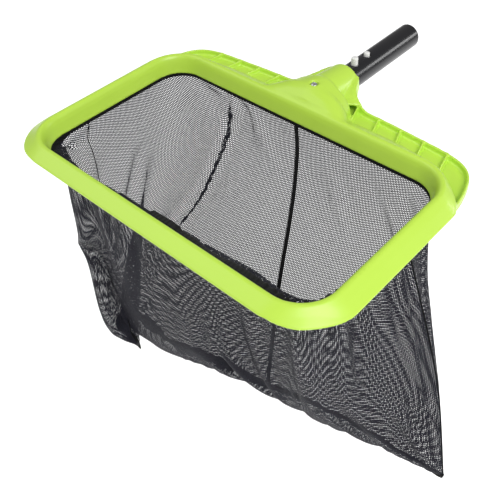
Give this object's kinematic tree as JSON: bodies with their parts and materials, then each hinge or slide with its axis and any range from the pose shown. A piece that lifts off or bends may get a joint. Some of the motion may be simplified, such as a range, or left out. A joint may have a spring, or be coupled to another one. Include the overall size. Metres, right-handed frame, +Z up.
{
  "type": "leaf skimmer net",
  "caption": "Pool leaf rake head: moulded frame with a thin scooping lip, a deep mesh bag hung from its mouth, and a spigot with a sprung snap clip for a telescopic pole.",
  "frame": {"origin": "on the spigot's axis, midway between the two lock pins, where the pole's cross holes sit", "axes": "+Y out along the spigot towards the pole, +Z up out of the net's mouth, +X along the mouth's long side"},
  "size_m": [0.504, 0.453, 0.3177],
  "materials": {
    "frame_plastic": "semi-gloss moulded",
    "hem_cord": "braided",
    "hem_tape": "woven",
    "retainer_plastic": "matte moulded",
    "net_mesh": "open knitted mesh",
    "seam_tape": "woven",
    "spigot_plastic": "glossy moulded",
    "bolt_steel": "zinc plated",
    "clip_nylon": "satin moulded"
  },
  "bodies": {
    "head": {"frame": "frame_plastic", "hem_cord": "hem_cord", "hem_tape": "hem_tape", "retainer_front": "retainer_plastic", "retainer_back": "retainer_plastic", "retainer_right": "retainer_plastic", "retainer_left": "retainer_plastic", "net_panel_front": "net_mesh", "net_panel_back": "net_mesh", "centre_seam_tape": "seam_tape", "bottom_seam_tape": "seam_tape", "spigot_tube": "spigot_plastic", "neck_bolt": "bolt_steel", "neck_nut": "bolt_steel", "clip_bow": "clip_nylon"},
    "upper_arm": {"clip_arm_upper": "clip_nylon"},
    "lower_arm": {"clip_arm_lower": "clip_nylon"}
  },
  "joints": [
    {"name": "upper_arm_press", "type": "hinge", "parent": "head", "child": "upper_arm", "pos_m": [0, 0.059, 0.0103], "axis": [1, 0, 0], "range_deg": [0, 4], "stiffness_Nm_per_rad": 6, "springref_deg": -2.86},
    {"name": "lower_arm_press", "type": "hinge", "parent": "head", "child": "lower_arm", "pos_m": [0, 0.059, -0.0103], "axis": [-1, 0, 0], "range_deg": [0, 4], "stiffness_Nm_per_rad": 6, "springref_deg": -2.86}
  ]
}
